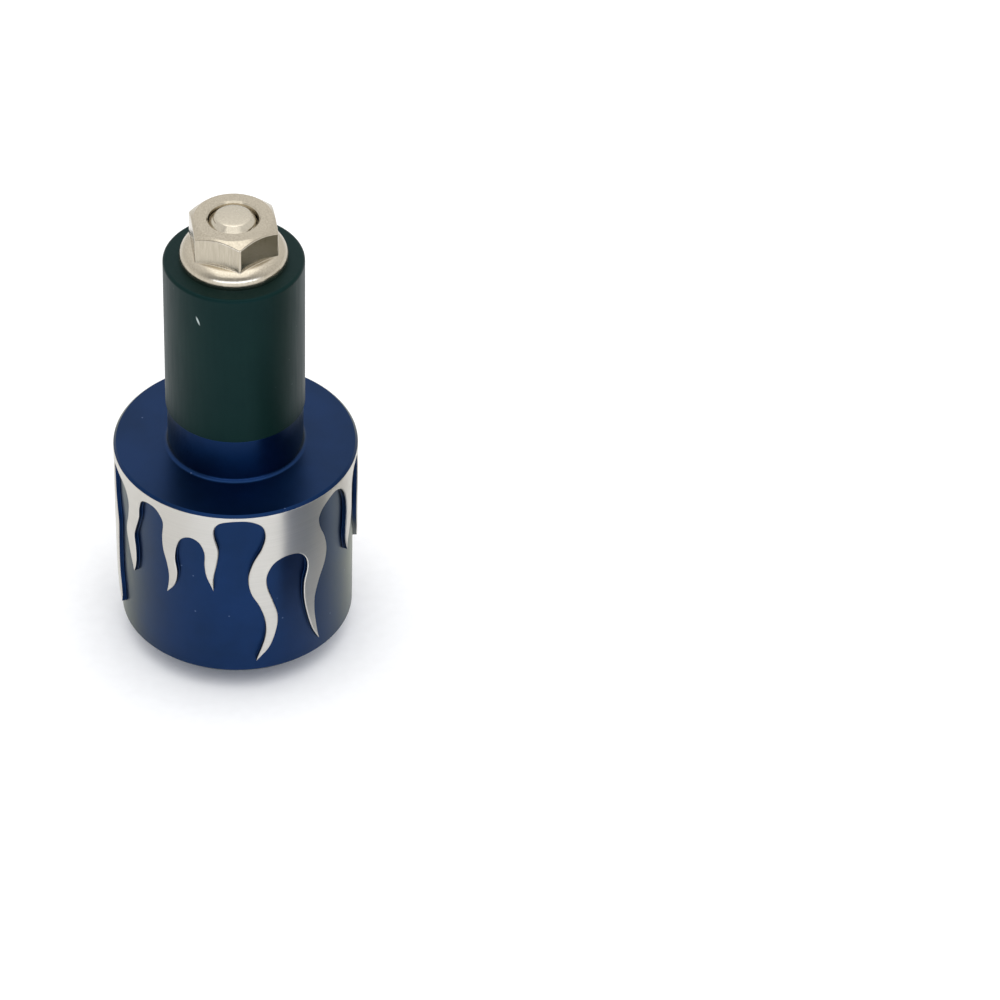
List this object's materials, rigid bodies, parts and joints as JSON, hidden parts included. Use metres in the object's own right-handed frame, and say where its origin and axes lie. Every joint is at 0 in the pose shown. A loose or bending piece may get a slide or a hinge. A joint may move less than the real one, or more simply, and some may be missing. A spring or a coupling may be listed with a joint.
{
  "type": "bar end weight",
  "caption": "Handlebar end weight: a blue turned body with raised bare metal flames, a neck, and a rubber sleeve clamped by a through screw and a flange nut.",
  "frame": {"origin": "centre of the flat on the rounded outer end, on which it stands", "axes": "+Z along the axis, from the outer end towards the handlebar; -Y is the side that the picture shows"},
  "size_m": [0.03, 0.03, 0.0626],
  "materials": {
    "weight": "satin blue anodised, with the flames turned back to bare bright metal",
    "sleeve": "moulded black rubber, faint satin",
    "cap_screw": "zinc plated, satin",
    "flange_nut": "zinc plated, satin with a bright flange edge"
  },
  "bodies": {
    "root": {"weight": "weight", "sleeve": "sleeve", "cap_screw": "cap_screw", "flange_nut": "flange_nut"}
  },
  "joints": []
}
